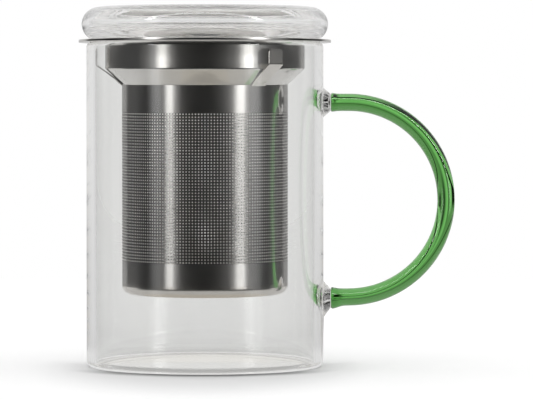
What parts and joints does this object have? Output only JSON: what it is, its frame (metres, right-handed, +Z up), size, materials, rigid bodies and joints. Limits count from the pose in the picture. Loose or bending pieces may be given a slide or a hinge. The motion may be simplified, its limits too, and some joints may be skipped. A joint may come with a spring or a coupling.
{
  "type": "tea cup with infuser",
  "caption": "Clear glass tea cup with a bent green glass handle, a lift-out perforated steel infuser that hangs from the rim, and a loose hollow glass lid.",
  "frame": {"origin": "on the cup's axis, in the plane that the cup stands on", "axes": "+X towards the handle, +Y across the cup, +Z up along the cup's axis"},
  "size_m": [0.1302, 0.0874, 0.1242],
  "materials": {
    "clear_glass": "clear, fire polished",
    "lid_glass": "clear, blown",
    "green_glass": "transparent green, fire polished",
    "collar_steel": "polished, lightly brushed",
    "basket_steel": "satin, perforated",
    "clip_steel": "polished spring strip"
  },
  "bodies": {
    "cup": {"glass_body": "clear_glass", "upper_handle_foot": "clear_glass", "lower_handle_foot": "clear_glass", "handle_rod": "green_glass"},
    "infuser": {"infuser_collar": "collar_steel", "perforated_sleeve": "basket_steel", "basket_bottom": "basket_steel", "spring_clip_front": "clip_steel", "spring_clip_rear": "clip_steel", "spring_clip_left": "clip_steel"},
    "lid": {"glass_lid": "lid_glass"}
  },
  "joints": [
    {"name": "infuser_lift", "type": "slide", "parent": "cup", "child": "infuser", "axis": [0, 0, 1], "range_m": [0, 0.11]},
    {"name": "lid_lift", "type": "slide", "parent": "infuser", "child": "lid", "axis": [0, 0, 1], "range_m": [0, 0.06]}
  ]
}
